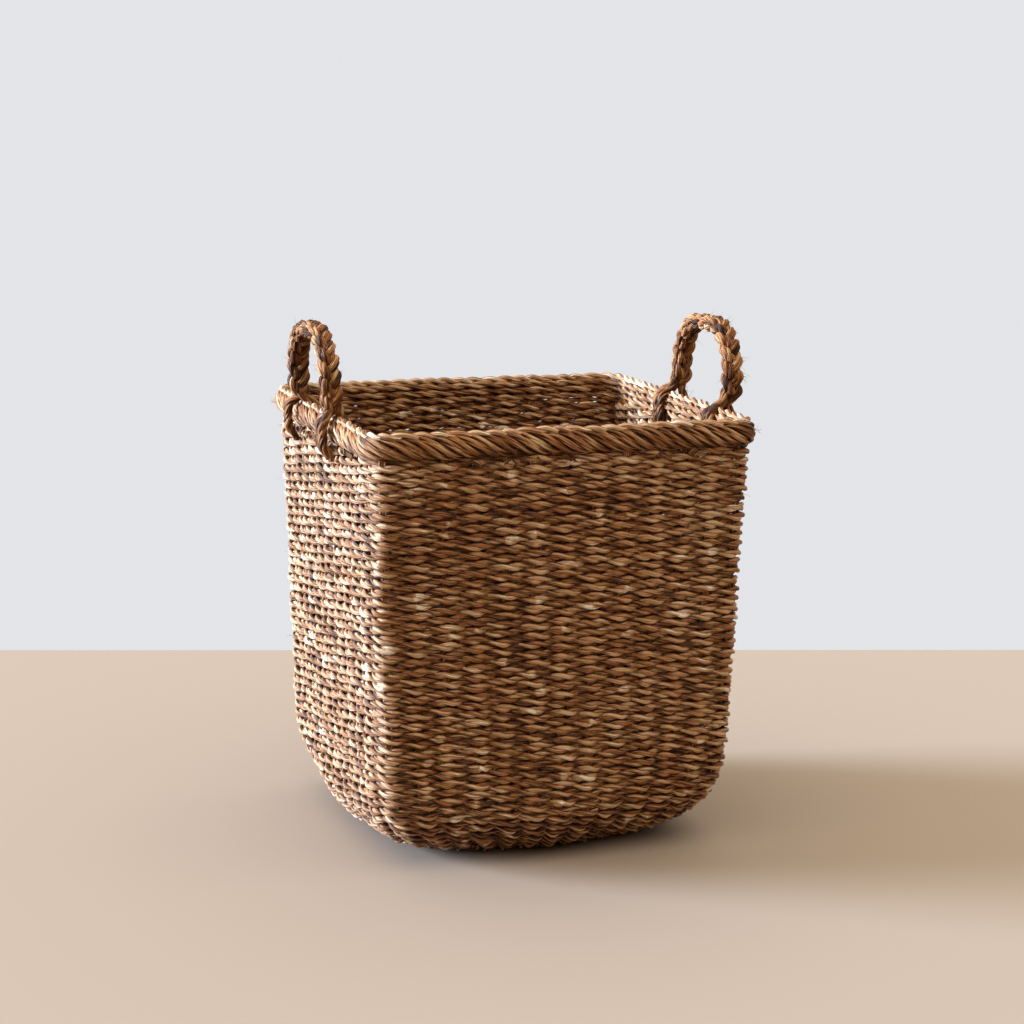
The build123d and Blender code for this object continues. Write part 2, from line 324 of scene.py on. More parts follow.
def tubes(centre, first, second, first_radius, second_radius, sides, closed, tone):
    """Return oval tubes along several paths at once.

    A point of a tube is its path's point plus the first direction times the first radius times the
    cosine of an angle round the path, plus the second direction times its radius times the sine.
    First, second and the way along the path make a right-handed set, so the faces point outwards.
    Open tubes are closed with a fan at each end.
    """
    count, steps = centre.shape[:2]
    angle = TURN * np.arange(sides) / sides
    first_radius = np.broadcast_to(first_radius, (count, steps))[..., None, None]
    second_radius = np.broadcast_to(second_radius, (count, steps))[..., None, None]
    ring = first[:, :, None] * first_radius * np.cos(angle)[:, None]
    ring = ring + second[:, :, None] * second_radius * np.sin(angle)[:, None]
    points = (centre[:, :, None] + ring).reshape(-1, 3)
    index = np.arange(count * steps * sides).reshape(count, steps, sides)
    ahead = np.roll(index, -1, 1) if closed else index[:, 1:]
    here = index if closed else index[:, :-1]
    quads = np.stack([here, np.roll(here, -1, 2), np.roll(ahead, -1, 2), ahead], -1)
    lengths = path_lengths(centre, closed)
    along = np.broadcast_to(lengths[:, :-1, None], here.shape)
    along_ahead = np.broadcast_to(lengths[:, 1:, None], here.shape)
    around = np.broadcast_to(np.arange(sides) / sides, here.shape)
    around_next = around + 1 / sides
    uv = np.stack(
        [
            np.stack([along, around], -1),
            np.stack([along, around_next], -1),
            np.stack([along_ahead, around_next], -1),
            np.stack([along_ahead, around], -1),
        ],
        -2,
    )
    tones = np.broadcast_to(np.broadcast_to(tone, (count, steps))[..., None], index.shape)
    part = {
        "points": points,
        "quads": quads.reshape(-1, 4),
        "quad_uv": uv.reshape(-1, 4, 2),
        "triangles": np.zeros((0, 3), int),
        "triangle_uv": np.zeros((0, 3, 2)),
        "tone": tones.reshape(-1),
    }
    return part if closed else with_ends(part, centre, index, lengths)


def with_ends(part, centre, index, lengths):
    """Return open tubes with a fan of triangles from a middle point closing each end."""
    count, steps, sides = index.shape
    tips = len(part["points"]) + np.arange(2 * count)
    start, finish = tips[:count, None], tips[count:, None]
    first, last = index[:, 0], index[:, -1]
    begin = np.stack([np.broadcast_to(start, first.shape), np.roll(first, -1, 1), first], -1)
    end = np.stack([np.broadcast_to(finish, last.shape), last, np.roll(last, -1, 1)], -1)
    around = np.broadcast_to(np.arange(sides) / sides, first.shape)
    fans = []
    for along in (lengths[:, :1], lengths[:, -1:]):
        span = np.broadcast_to(along, around.shape)
        corner = np.stack([span, around], -1)
        fans.append(np.stack([corner, corner, corner], -2))
    tone = part["tone"].reshape(count, steps, sides)
    part["points"] = np.concatenate([part["points"], centre[:, 0], centre[:, -1]])
    part["triangles"] = np.concatenate([begin.reshape(-1, 3), end.reshape(-1, 3)])
    part["triangle_uv"] = np.concatenate(fans).reshape(-1, 3, 2)
    part["tone"] = np.concatenate([part["tone"], tone[:, 0, 0], tone[:, -1, 0]])
    return part


def joined(parts):
    """Return several parts as one, with the point numbers of each moved past those before it."""
    offsets = np.cumsum([0] + [len(part["points"]) for part in parts[:-1]])
    whole = {key: np.concatenate([part[key] for part in parts]) for key in parts[0]}
    for key in ("quads", "triangles"):
        moved = [part[key] + offset for part, offset in zip(parts, offsets)]
        whole[key] = np.concatenate(moved)
    return whole


def make_piece(name, parts, material):
    """Return a new object whose mesh holds the parts, with a UV map and a tone for each point."""
    whole = joined(parts)
    whole["points"][:, 2] = np.maximum(whole["points"][:, 2], 0.2 * MM)
    mesh = bpy.data.meshes.new(name)
    mesh.vertices.add(len(whole["points"]))
    mesh.vertices.foreach_set("co", whole["points"].astype(np.float32).ravel())
    corners = np.concatenate([whole["quads"].ravel(), whole["triangles"].ravel()])
    mesh.loops.add(len(corners))
    mesh.loops.foreach_set("vertex_index", corners.astype(np.int32))
    sizes = np.concatenate([np.full(len(whole["quads"]), 4), np.full(len(whole["triangles"]), 3)])
    starts = np.concatenate([[0], np.cumsum(sizes)[:-1]])
    mesh.polygons.add(len(sizes))
    mesh.polygons.foreach_set("loop_start", starts.astype(np.int32))
    mesh.polygons.foreach_set("use_smooth", np.ones(len(sizes), bool))
    uv = np.concatenate([whole["quad_uv"].reshape(-1, 2), whole["triangle_uv"].reshape(-1, 2)])
    mesh.uv_layers.new(name="grain").data.foreach_set("uv", uv.astype(np.float32).ravel())
    tone = mesh.attributes.new("tone", "FLOAT", "POINT")
    tone.data.foreach_set("value", whole["tone"].astype(np.float32))
    mesh.update(calc_edges=True)
    mesh.validate()
    mesh.materials.append(material)
    piece = bpy.data.objects.new(name, mesh)
    bpy.context.scene.collection.objects.link(piece)
    return piece


def seat(piece, body, nodes):
    """Make the piece move with its body and stand for its CAD nodes."""
    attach(piece, body)
    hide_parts(*nodes)


# ---------------------------------------------------------------- chance, cords and fibres


def knots(rng, rows, count, samples, closed=True):
    """Return smooth random values along each row, easing from knot to knot, each about -1 to 1."""
    values = rng.uniform(-1, 1, (rows, count + 1))
    if closed:
        values[:, -1] = values[:, 0]
    place = np.linspace(0, count, samples, endpoint=not closed)
    left = np.minimum(place.astype(int), count - 1)
    ease = place - left
    ease = ease * ease * (3 - 2 * ease)
    return values[:, left] * (1 - ease) + values[:, left + 1] * ease


def twisted_cord(centre, first, second, first_radius, second_radius, turn, sides, closed, tone):
    """Return a cord of two plies twisted round each other along each path.

    Each ply's centre circles the path at about half the cord's radius, half a turn from the other.
    """
    parts = []
    radii = (first_radius * PLY_SIZE, second_radius * PLY_SIZE)
    for angle, shade in ((turn, -PLY_SHADE), (turn + math.pi, PLY_SHADE)):
        offset = first * (first_radius * PLY_REACH * np.cos(angle))[..., None]
        offset = offset + second * (second_radius * PLY_REACH * np.sin(angle))[..., None]
        parts.append(tubes(centre + offset, first, second, *radii, sides, closed, tone + shade))
    return joined(parts)


def fibres(rng, roots, outward, sideways, length, radius):
    """Return fine loose fibres that spring from the roots.

    Each is a three-sided tube of four rings. It leans out and sideways by chance, and bends over
    by the square of the way along it while it thins to a fifth.
    """
    count = len(roots)
    reach = rng.uniform(0.35, 1.0, count)[:, None] * length
    aim = direction(
        outward * rng.uniform(0.25, 1.0, (count, 1)) + sideways * rng.uniform(-1.3, 1.3, (count, 1))
    )
    droop = np.cross(outward, sideways) * rng.uniform(-0.5, 0.5, (count, 1))
    step = np.linspace(0, 1, 4)[None, :, None]
    bend = (droop[:, None] - outward[:, None] * 0.15) * step**2
    path = roots[:, None] + (aim[:, None] * step + bend) * reach[:, None]
    along = direction(path[:, -1] - path[:, 0])
    first = direction(np.cross(along, np.cross(outward, sideways) + 0.01))
    second = np.broadcast_to(np.cross(along, first)[:, None], path.shape)
    first = np.broadcast_to(first[:, None], path.shape)
    thin = radius * np.linspace(1, 0.2, 4)[None]
    return tubes(path, first, second, thin, thin, 3, False, rng.uniform(0.3, 1.2, (count, 1)))


# ---------------------------------------------------------------- dried grass


class Wire:
    """A value in a shader, wrapped so that sums can be written with it."""

    def __init__(self, tree, socket):
        self.tree = tree
        self.socket = socket

    def node(self, kind, settings, sockets, output=0):
        """Add a node, set its settings and then its sockets, and return one of its outputs."""
        new = self.tree.nodes.new(kind)
        for name, value in settings.items():
            setattr(new, name, value)
        for name, value in sockets.items():
            if isinstance(value, Wire):
                self.tree.links.new(value.socket, new.inputs[name])
            else:
                new.inputs[name].default_value = value
        return Wire(self.tree, new.outputs[output])

    def maths(self, operation, first, second=0.0):
        """Return the result of one operation on two values."""
        return self.node("ShaderNodeMath", {"operation": operation}, {0: first, 1: second})

    def __add__(self, other):
        return self.maths("ADD", self, other)

    def __radd__(self, other):
        return self.maths("ADD", other, self)

    def __sub__(self, other):
        return self.maths("SUBTRACT", self, other)

    def __rsub__(self, other):
        return self.maths("SUBTRACT", other, self)

    def __mul__(self, other):
        return self.maths("MULTIPLY", self, other)

    def __rmul__(self, other):
        return self.maths("MULTIPLY", other, self)

    def ramp(self, low, high):
        """Return 0 below the low value, 1 above the high one and a smooth rise between."""
        settings = {"interpolation_type": "SMOOTHSTEP"}
        return self.node("ShaderNodeMapRange", settings, {"Value": self, 1: low, 2: high})

    def mixed(self, first, second):
        """Return the first colour where this value is 0 and the second where it is 1."""
        settings = {"data_type": "RGBA"}
        sockets = {"Factor": self, 6: first, 7: second}
        return self.node("ShaderNodeMix", settings, sockets, 2)

    def scaled(self, factors):
        """Return this vector with each of its parts times its own factor."""
        settings = {"operation": "MULTIPLY"}
        return self.node("ShaderNodeVectorMath", settings, {0: self, 1: factors})

    def noise(self, scale, detail=2.0):
        """Return soft noise read at this vector."""
        sockets = {"Vector": self, "Scale": scale, "Detail": detail}
        return self.node("ShaderNodeTexNoise", {}, sockets)


def grass_material(name):
    """Return one kind of dried grass: blades with fine fibres along them, lighter and darker.

    Lift makes the whole lighter or darker. The painted gap shade is a lightening added by the size
    of the sine of the angle round a cord, so it leaves the sides that face the next cords dark:
    painted shade in the gaps between cords. Fibres run along the cord's own length, and slow stains
    are laid over the whole basket. The sum of all these picks a colour between the deepest brown
    and straw.
    """
    if name in bpy.data.materials:
        return bpy.data.materials[name]
    lift, fibre_depth, gloss, painted_gap_shade = GRASSES[name]
    colours = bpy.context.scene.basket_colours
    material = bpy.data.materials.new(name)
    material.use_nodes = True
    tree = material.node_tree
    surface = tree.nodes["Principled BSDF"]
    start = Wire(tree, None)
    grain = start.node("ShaderNodeUVMap", {"uv_map": "grain"}, {})
    place = start.node("ShaderNodeTexCoord", {}, {}, 3)
    tone = start.node("ShaderNodeAttribute", {"attribute_name": "tone"}, {}, 2)
    along = grain.node("ShaderNodeSeparateXYZ", {}, {0: grain})
    around = Wire(tree, along.socket.node.outputs[1])
    across = around.maths("ABSOLUTE", around - 0.5)
    sockets = {0: along, 1: across, 2: tone * 3.0}
    blade = start.node("ShaderNodeCombineXYZ", {}, sockets)
    wide = blade.scaled((34.0, 11.0, 1.0)).noise(1.0, 2.0).ramp(0.3, 0.7)
    fine = blade.scaled((70.0, 19.0, 1.0)).noise(1.0, 3.0).ramp(0.3, 0.7)
    stain = place.noise(16.0, 3.0)
    # Painted shade: the sides of a cord that face the next cords are left darker than its other
    # sides.
    facing = around.maths("ABSOLUTE", around.maths("SINE", around * TURN)).ramp(0.1, 0.8)
    value = 0.32 * wide + 0.26 * fine + 0.8 * tone + 0.3 * stain + painted_gap_shade * facing - 0.36 + lift
    deep, brown = (*colours.deep, 1.0), (*colours.brown, 1.0)
    tan, straw = (*colours.tan, 1.0), (*colours.straw, 1.0)
    colour = value.ramp(0.08, 0.42).mixed(deep, brown)
    colour = value.ramp(0.38, 0.68).mixed(colour, tan)
    colour = value.ramp(0.68, 1.0).mixed(colour, straw)
    rough = 0.72 - 0.22 * fine
    height = fine * 0.5 + wide * 0.7
    sockets = {"Strength": fibre_depth, "Distance": 0.0018, "Height": height}
    normal = height.node("ShaderNodeBump", {}, sockets)
    tree.links.new(colour.socket, surface.inputs["Base Color"])
    tree.links.new(rough.socket, surface.inputs["Roughness"])
    tree.links.new(normal.socket, surface.inputs["Normal"])
    surface.inputs["Specular IOR Level"].default_value = gloss
    return material


# ---------------------------------------------------------------- pieces


def bend_row_count():
    """Return how many rows of cord the bend takes at the wall's own pitch."""
    wall = wall_sizes()
    pitch = wall["wall_length"] / (bpy.context.scene.basket_sizes.rows_per_band * BANDS)
    return round(wall["bend_length"] / pitch)


def weaver_rows(rng, first_row, rows, samples_per_stake):
    """Return rows of two-ply cord woven in and out of the stakes, row by row up the wall.

    Each row lifts by the cosine of half a turn a stake, the other way in every second row. A stitch
    is tallest and deepest where it lies over a stake, and narrow where it passes between two, where
    painted shade darkens it. Two crossed waves and chance move the rows up and down and the
    stitches sideways, and one stitch in twenty is pale.
    """
    sizes = bpy.context.scene.basket_sizes
    wall = wall_sizes()
    stakes = sizes.stakes_per_quarter * QUARTERS
    samples = stakes * samples_per_stake
    stake = np.arange(samples) / samples_per_stake
    row = first_row + np.arange(rows)
    pitch = wall["wall_length"] / (sizes.rows_per_band * BANDS)
    bend_rows = bend_row_count()
    bend_pitch = wall["bend_length"] / bend_rows
    climb = np.where(
        row < bend_rows,
        (row + 0.5) * bend_pitch,
        wall["bend_length"] + (row - bend_rows + 0.5) * pitch,
    )
    climb = climb[:, None]
    progress = stake / stakes
    flow = 1.1 * MM * np.sin(TURN * (progress * 3 + climb * 9))
    flow = flow * np.sin(TURN * (progress * 2 - climb * 6))
    climb = climb + flow + 0.32 * MM * knots(rng, rows, stakes, samples)
    wander = 0.045 * np.sin(TURN * progress * 17 + climb * 23)
    wander += 0.04 * np.sin(TURN * progress * 29 - climb * 37 + 1.0)
    wander += 0.1 * knots(rng, rows, stakes // 2, samples)
    centre, out, up = wall_surface(stake + wander, climb)
    sign = np.where(row % 2 == 0, 1.0, -1.0)[:, None]
    swing = sign * np.cos(math.pi * stake)
    size = 1 + 0.09 * knots(rng, rows, stakes, samples)
    tall = np.abs(swing) ** NARROWING
    half_height = (NARROW_HALF + (sizes.cord_height / 2 - NARROW_HALF) * tall) * size
    half_depth = (2.2 * MM + 1.2 * MM * tall) * size
    lift = (sizes.wall_thickness / 2 - 3.5 * MM) * swing
    lift = lift + 0.45 * MM * knots(rng, rows, stakes, samples)
    centre = centre + out * lift[..., None]
    turn = twist(centre, sizes.cord_lay) + rng.uniform(0, TURN, (rows, 1))
    turn = turn + 0.9 * knots(rng, rows, stakes // 2, samples)
    pale = (rng.uniform(0, 1, (rows, stakes)) > 0.95).astype(float)
    pale = np.repeat(pale, samples_per_stake, 1)
    tone = 0.5 + 0.13 * knots(rng, rows, stakes, samples) + 0.1 * rng.uniform(-1, 1, (rows, 1))
    # Painted shade: the tone drops where a stitch narrows and dives between two stakes.
    tone = tone + 0.42 * pale * np.abs(swing) - 0.2 * (1 - tall)
    cord = twisted_cord(centre, up, out, half_height, half_depth, turn, CORD_SIDES, True, tone)
    pick = rng.integers(0, samples, (rows, 7))
    lines = np.arange(rows)[:, None]
    roots = centre + out * half_depth[..., None]
    springs = (part[lines, pick].reshape(-1, 3) for part in (roots, out, np.cross(up, out)))
    return [cord, fibres(rng, *springs, HAIR_LENGTH, HAIR_RADIUS)]


class BASKET_OT_bend(bpy.types.Operator):
    """Weave the curve between the base and the wall, in two lengths of cord"""

    bl_idname = "basket.bend"
    bl_label = "Weave the bend"

    def execute(self, context):
        rows = bend_row_count()
        half = rows // 2
        lengths = (("lower", 0, half), ("upper", half, rows - half))
        for number, (name, first, count) in enumerate(lengths):
            rng = np.random.default_rng(SEEDS["bend"] + number)
            parts = weaver_rows(rng, first, count, samples_per_stake=7)
            piece = make_piece("weave_bend_" + name, parts, grass_material("woven_grass"))
            seat(piece, "basket", ["bend_weaver_" + name])
        return {"FINISHED"}


class BASKET_OT_wall(bpy.types.Operator):
    """Weave the wall, one length of cord for each band"""

    bl_idname = "basket.wall"
    bl_label = "Weave the wall"

    def execute(self, context):
        rows = context.scene.basket_sizes.rows_per_band
        for band in range(BANDS):
            rng = np.random.default_rng(SEEDS["wall"] + band)
            first = bend_row_count() + band * rows
            parts = weaver_rows(rng, first, rows, samples_per_stake=9)
            piece = make_piece(f"weave_wall_{band + 1}", parts, grass_material("woven_grass"))
            seat(piece, "basket", [f"wall_weaver_{band + 1}"])
        return {"FINISHED"}


def mat_cords(rng, turned, half_x, half_y, radius):
    """Return the base's cords that run one way, cut to its rounded outline.

    They lie a cord's pitch apart and rise and fall by a cosine, each the other way from the next.
    """
    count = int(half_y / MAT_PITCH)
    number = np.arange(-count, count + 1)
    level = MAT_PITCH * number
    past = np.maximum(np.abs(level) - (half_y - radius), 0)
    reach = half_x - radius + np.sqrt(np.maximum(radius**2 - past**2, 0)) + 4 * MM
    reach = reach + 12 * MM * np.maximum(1 - (level / half_y) ** 2, 0) ** 2
    rows, samples = len(level), 110
    along = np.linspace(-1, 1, samples)[None] * reach[:, None]
    parity = np.where(number % 2 == 0, 1.0, -1.0)[:, None] * (-1 if turned else 1)
    height = 6.9 * MM + 2.6 * MM * np.cos(math.pi * along / MAT_PITCH) * parity
    line = level[:, None] + 0.4 * MM * knots(rng, rows, 20, samples, False)
    ways = [line, along, height] if turned else [along, line, height]
    centre = np.stack(ways, -1)
    first = np.broadcast_to([-1.0, 0, 0] if turned else [0.0, 1, 0], centre.shape)
    second = np.broadcast_to([0.0, 0, 1], centre.shape)
    turn = TURN * along / MAT_LAY + rng.uniform(0, TURN, (rows, 1))
    tone = 0.45 + 0.12 * knots(rng, rows, 24, samples, False) + rng.uniform(-0.1, 0.1, (rows, 1))
    size = np.full(along.shape, MAT_CORD_RADIUS)
    return twisted_cord(centre, first, second, size, size * 0.92, turn, 6, False, tone)


class BASKET_OT_base(bpy.types.Operator):
    """Weave the flat base"""

    bl_idname = "basket.base"
    bl_label = "Weave the base"

    def execute(self, context):
        rng = np.random.default_rng(SEEDS["base"])
        sizes = context.scene.basket_sizes
        edge = wall_surface(np.array([0, sizes.stakes_per_quarter]), 0.0)[0]
        half_x, half_y = edge[0, 0], edge[1, 1]
        radius = sizes.base_corner_radius - wall_sizes()["half_thick"]
        parts = [
            mat_cords(rng, False, half_x, half_y, radius),
            mat_cords(rng, True, half_y, half_x, radius),
        ]
        piece = make_piece("weave_base", parts, grass_material("woven_grass"))
        seat(piece, "basket", ["base_mat"])
        return {"FINISHED"}


def stake_stems(rng, stakes):
    """Return stakes of three stems side by side, from the base's edge up into the rim.

    Each stem follows the wall's middle layer and sways sideways by chance.
    """
    wall = wall_sizes()
    count, samples = len(stakes), 44
    climb = np.linspace(0, wall["bend_length"] + wall["wall_length"] + 8 * MM, samples)
    middle, out, up = wall_surface(np.asarray(stakes, float)[:, None], climb[None])
    side = np.cross(up, out)
    parts = []
    for stem in (-1, 0, 1):
        offset = stem * 2.3 * MM + 0.5 * MM * knots(rng, count, 6, samples, False)
        centre = middle + side * offset[..., None]
        tone = 0.45 + 0.15 * rng.uniform(-1, 1, (count, 1))
        parts.append(tubes(centre, out, side, 1.6 * MM, 1.6 * MM, 5, False, tone))
    return joined(parts)


class BASKET_OT_stakes(bpy.types.Operator):
    """Set the upright stakes that the cord is woven round"""

    bl_idname = "basket.stakes"
    bl_label = "Set the stakes"

    def execute(self, context):
        rng = np.random.default_rng(SEEDS["stakes"])
        per_quarter = context.scene.basket_sizes.stakes_per_quarter
        right, back, left, front = (per_quarter * side for side in range(QUARTERS))
        inner = [-3, -2, -1, 0, 1, 2, 3]
        outer = [-5, -4, 4, 5]
        nodes = {
            "across": [side + place for side in (right, left) for place in inner],
            "along": [side + place for side in (back, front) for place in inner],
            "side_right": [right + place for place in outer],
            "side_back": [back + place for place in outer],
            "side_left": [left + place for place in outer],
            "side_front": [front + place for place in outer],
            "corner": [side + per_quarter // 2 for side in (right, back, left, front)],
        }
        for name, places in nodes.items():
            stems = [stake_stems(rng, places)]
            piece = make_piece("stems_" + name, stems, grass_material("stake_grass"))
            known = ["stakes_" + name]
            if name in ("across", "along"):
                known = [f"stake_{name}_{number + 1}" for number in range(len(inner))]
            seat(piece, "basket", known)
        return {"FINISHED"}


def ring_path(half_x, half_y, radius, height, samples):
    """Return a level rounded rectangle as one row of points, with its outward and upward ways."""
    point, out = rounded_outline(np.arange(samples) / samples * QUARTERS, half_x, half_y, radius)
    point = np.concatenate([point, np.full((samples, 1), height)], -1)
    out = np.concatenate([out, np.zeros((samples, 1))], -1)
    return point[None], out[None], np.broadcast_to([0.0, 0, 1], (1, samples, 3))


def rim_strands(rng, samples):
    """Return the border: bundles of stems wound side by side round an oval core.

    Each bundle circles the rim's middle path once in a lay, and its stems circle the bundle's own
    middle more quickly. The circle is an oval, flatter on the inside than on the outside, where the
    bundles are also thicker than above and below. Painted shade makes the bundles darker above and
    below, where they turn in against the edge cord and the wall.
    """
    sizes = bpy.context.scene.basket_rim
    half_x, half_y = RIM_BOX[1][0] - WINDING_INSET, RIM_BOX[1][1] - WINDING_INSET
    radius = bpy.context.scene.basket_sizes.corner_radius - 5 * MM
    height = (RIM_BOX[0][2] + RIM_BOX[1][2]) / 2 + 0.4 * MM
    path, out, up = ring_path(half_x, half_y, radius, height, samples)
    lengths = path_lengths(path, True)
    progress = lengths[:, :-1] / lengths[0, -1]
    bundle_turn, stem_turns = twist(path, sizes.lay), 26
    parts = []
    for strand in range(sizes.strands):
        angle = TURN * strand / sizes.strands - bundle_turn + 0.16 * knots(rng, 1, 40, samples)
        swell = 1 + 0.07 * knots(rng, 1, 50, samples)
        reach = np.where(np.cos(angle) > 0, 3.8 * MM, 1.4 * MM) * swell * np.cos(angle)
        middle = path + out * reach[..., None]
        middle = middle + up * (7.6 * MM * swell * np.sin(angle))[..., None]
        along = direction(np.roll(middle, -1, 1) - np.roll(middle, 1, 1))
        radial = out * np.cos(angle)[..., None] + up * np.sin(angle)[..., None]
        radial = square_to(along, radial)
        side = np.cross(along, radial)
        shade = 0.62 + 0.12 * rng.uniform(-1, 1) + 0.16 * knots(rng, 1, 70, samples)
        # Painted shade: each bundle darkens above and below, where it turns in against the edge
        # cord and the wall.
        shade = shade - 0.26 * (1 - np.abs(np.cos(angle)))
        for stem in range(3):
            spin = TURN * (stem / 3 - stem_turns * progress) + 0.6 * knots(rng, 1, 30, samples)
            centre = middle + radial * (1.4 * MM * np.cos(spin))[..., None]
            centre = centre + side * (1.2 * MM * np.sin(spin))[..., None]
            size = 1.95 * MM * (1 + 0.14 * knots(rng, 1, 90, samples))
            size = size * (0.72 + 0.3 * np.abs(np.cos(angle)))
            tone = shade + 0.1 * rng.uniform(-1, 1) + 0.1 * knots(rng, 1, 60, samples)
            parts.append(tubes(centre, -side, radial, size * 1.05, size, 6, True, tone))
    pick = rng.integers(0, samples, 170)
    roots = (path + out * 8.55 * MM)[0, pick]
    hairs = fibres(rng, roots, out[0, pick], np.cross(up, out)[0, pick], 0.013, 0.17 * MM)
    return parts + [hairs]


def edge_cord(rng, samples):
    """Return the pale two-ply cord that lies along the top of the rim.

    Its path is a rounded rectangle that chance lifts and lowers a little.
    """
    half_width = (CORD_BOX[1][2] - CORD_BOX[0][2]) / 2 - 0.3 * MM
    half_x, half_y = CORD_BOX[1][0] - 4.5 * MM, CORD_BOX[1][1] - 4.5 * MM
    radius = bpy.context.scene.basket_sizes.corner_radius - wall_sizes()["half_thick"]
    path, out, up = ring_path(half_x, half_y, radius, CORD_BOX[1][2] - half_width, samples)
    turn = twist(path, EDGE_CORD_LAY) + 0.6 * knots(rng, 1, 60, samples)
    size = half_width * (1 + 0.08 * knots(rng, 1, 80, samples))
    path = path + up * (0.7 * MM * knots(rng, 1, 30, samples))[..., None]
    tone = 0.68 + 0.12 * knots(rng, 1, 70, samples)
    return [twisted_cord(path, up, out, size, size, turn, 8, True, tone)]


def lining_cords(rng, samples):
    """Return three woven cords, one above the other, that line the inside of the border.

    Like the wall's rows, each moves in and out by a cosine and is narrow between two stakes, where
    painted shade darkens it.
    """
    sizes = bpy.context.scene.basket_sizes
    half_x, half_y = RIM_BOX[1][0] - LINING_INSET, RIM_BOX[1][1] - LINING_INSET
    radius = sizes.corner_radius - 9.8 * MM
    middle = (RIM_BOX[0][2] + RIM_BOX[1][2]) / 2
    stakes = sizes.stakes_per_quarter * QUARTERS
    parts = []
    for level in (-1, 0, 1):
        height = middle + 6.4 * MM * level
        path, out, up = ring_path(half_x, half_y, radius, height, samples)
        swing = np.cos(math.pi * (np.arange(samples) / samples * stakes + level))[None]
        tall = np.abs(swing) ** NARROWING
        path = path + out * (0.9 * MM * swing)[..., None]
        path = path + up * (0.5 * MM * knots(rng, 1, stakes, samples))[..., None]
        turn = twist(path, sizes.cord_lay) + rng.uniform(0, TURN)
        turn = turn + 0.9 * knots(rng, 1, stakes // 2, samples)
        size = 1 + 0.09 * knots(rng, 1, stakes, samples)
        # Painted shade: the tone drops where the cord narrows between two stakes.
        tone = 0.5 + 0.13 * knots(rng, 1, stakes, samples) - 0.2 * (1 - tall)
        high = (NARROW_HALF + 1.3 * MM * tall) * size
        deep = (2.0 + 0.8 * tall) * MM * size
        parts.append(twisted_cord(path, up, out, high, deep, turn, CORD_SIDES, True, tone))
    return parts


def cut_ends(rng):
    """Return the short cut ends of the stakes that show under the border, outside.

    Each is a tuft of four stems that hang from the top of the wall, lean sideways by chance and
    curve away from it. About a quarter of the stakes, and those at the corners, have none.
    """
    sizes = bpy.context.scene.basket_sizes
    wall = wall_sizes()
    stakes = sizes.stakes_per_quarter * QUARTERS
    stake = np.arange(0, stakes, 1.0) + rng.uniform(-0.25, 0.25, stakes)
    from_corner = np.abs(stake / sizes.stakes_per_quarter % 1 - 0.5)
    stake = stake[(rng.uniform(0, 1, stakes) > 0.25) & (from_corner > 0.12)]
    top = wall["bend_length"] + wall["wall_length"]
    foot, out, up = wall_surface(stake[:, None], np.full((len(stake), 1), top))
    side = np.cross(up, out)
    stems, rings = 4, 5
    foot, out, up, side = (np.repeat(part[:, :1], stems, 0) for part in (foot, out, up, side))
    count = len(foot)
    step = np.linspace(0, 1, rings)[None, :, None]
    length = rng.uniform(3.5, 8, (count, 1, 1)) * MM
    lean = rng.uniform(-1.1, 1.3, (count, 1, 1))
    start = foot + out * rng.uniform(5.8, 7.4, (count, 1, 1)) * MM
    start = start + up * rng.uniform(-3, 1, (count, 1, 1)) * MM
    start = start + side * rng.uniform(-5, 5, (count, 1, 1)) * MM
    centre = start - up * step * length * 0.6 + side * lean * step * length
    centre = centre + out * rng.uniform(0.5, 1.8, (count, 1, 1)) * MM * step * (2 - step)
    along = direction(centre[:, -1:] - centre[:, :1])
    first = square_to(along, direction(np.cross(side, along) + up * 0.01))
    second = np.broadcast_to(np.cross(along, first), centre.shape)
    first = np.broadcast_to(first, centre.shape)
    size = rng.uniform(0.7, 1.4, (count, 1)) * MM * np.linspace(1, 0.7, rings)
    tone = rng.uniform(0.3, 1.0, (count, 1))
    return [tubes(centre, first, second, size, size, 6, False, tone)]


class BASKET_OT_rim(bpy.types.Operator):
    """Wind the rolled border, its edge cord and the cut ends under it"""

    bl_idname = "basket.rim"
    bl_label = "Wind the rim"

    def execute(self, context):
        rng = np.random.default_rng(SEEDS["rim"])
        bundles = rim_strands(rng, samples=480)
        border = make_piece("rim_rope", bundles, grass_material("rim_grass"))
        seat(border, "basket", ["rim_border"])
        cords = edge_cord(rng, samples=420) + lining_cords(rng, samples=432)
        cord = make_piece("rim_top_cord", cords, grass_material("woven_grass"))
        seat(cord, "basket", ["rim_edge_cord"])
        ends = make_piece("rim_stubs", cut_ends(rng), grass_material("rim_grass"))
        seat(ends, "basket", ["rim_cut_ends"])
        return {"FINISHED"}


def handle_course(samples):
    """Return a handle's middle line in its own plane, with its normals, from end to end.

    It rises up one leg, turns through a quarter circle, runs level, turns again and comes down.
    Every point is a pair: how far along the wall and how high.
    """
    half = (LOOP_BOX[1][1] - LOOP_BOX[0][1]) / 2 - 7 * MM
    start = LOOP_BOX[0][2] - TAIL_DROP
    leg = LOOP_BOX[1][2] - 11.5 * MM - HANDLE_CORNER - start
    bar = 2 * (half - HANDLE_CORNER)
    arc = HANDLE_CORNER * math.pi / 2
    length = np.linspace(0, 2 * leg + 2 * arc + bar, samples)
    turn = np.clip((length - leg) / HANDLE_CORNER, 0, math.pi / 2)
    turn = turn + np.clip((length - leg - arc - bar) / HANDLE_CORNER, 0, math.pi / 2)
    step = np.diff(length, prepend=0)
    middle_turn = np.concatenate([[0], (turn[1:] + turn[:-1]) / 2])
    across = -half + np.cumsum(step * np.sin(middle_turn))
    height = start + np.cumsum(step * np.cos(middle_turn))
    normal = np.stack([-np.cos(turn), np.sin(turn)], -1)
    return length, np.stack([across, height], -1), normal


def smooth_step(value, low, high):
    """Return 0 below low, 1 above high and a smooth rise between."""
    share = np.clip((value - low) / (high - low), 0, 1)
    return share * share * (3 - 2 * share)


